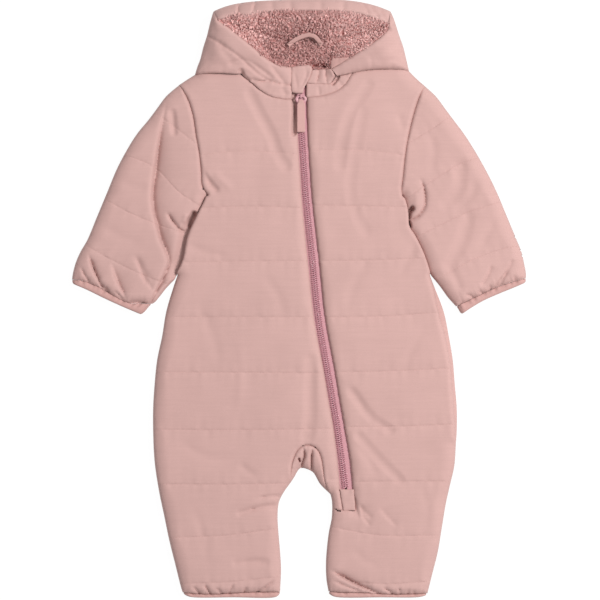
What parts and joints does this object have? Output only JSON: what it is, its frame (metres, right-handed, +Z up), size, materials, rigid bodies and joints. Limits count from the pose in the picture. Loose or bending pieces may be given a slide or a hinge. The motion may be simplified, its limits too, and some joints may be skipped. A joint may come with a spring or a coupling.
{
  "type": "baby snowsuit",
  "caption": "Padded baby snowsuit with quilted channels, a slanting front zip with a swinging pull, and a hood lined in deep pile, laid out flat on its back.",
  "frame": {"origin": "on the ground under the middle of the garment's outline", "axes": "+Y from the feet to the hood, +X towards the wearer's left, +Z up from the ground, out of the suit's front"},
  "size_m": [0.5222, 0.6875, 0.0413],
  "materials": {
    "shell": "dusty pink woven polyester shell, soft low sheen",
    "binding": "dusty pink woven binding",
    "pile": "deep rose curly pile",
    "tape": "mauve pink zip tape",
    "teeth": "mauve pink coil",
    "slider": "mauve pink painted zinc"
  },
  "bodies": {
    "suit": {"back": "shell", "front_right": "shell", "front_left": "shell", "crotch_gusset": "shell", "sleeve_right": "shell", "sleeve_left": "shell", "cuff_binding_right": "binding", "cuff_binding_left": "binding", "leg_binding_right": "binding", "leg_binding_left": "binding", "hood_side_right": "shell", "hood_side_left": "shell", "hood_band": "shell", "hood_back": "shell", "hood_lining": "pile", "hood_facing_left": "binding", "collar_left": "shell", "neck_band_left": "shell", "zip_garage": "shell", "hanger_loop": "binding", "zip_tape_right": "tape", "zip_tape_left": "tape", "zip_chain": "teeth", "zip_end_patch": "shell", "zip_slider": "slider"},
    "pull": {"zip_pull_ring": "slider", "zip_pull_tab": "binding"}
  },
  "joints": [
    {"name": "pull_swing", "type": "hinge", "parent": "suit", "child": "pull", "pos_m": [0.0024, 0.2329, 0.0186], "axis": [-1, 0, 0], "range_deg": [0, 140]}
  ]
}
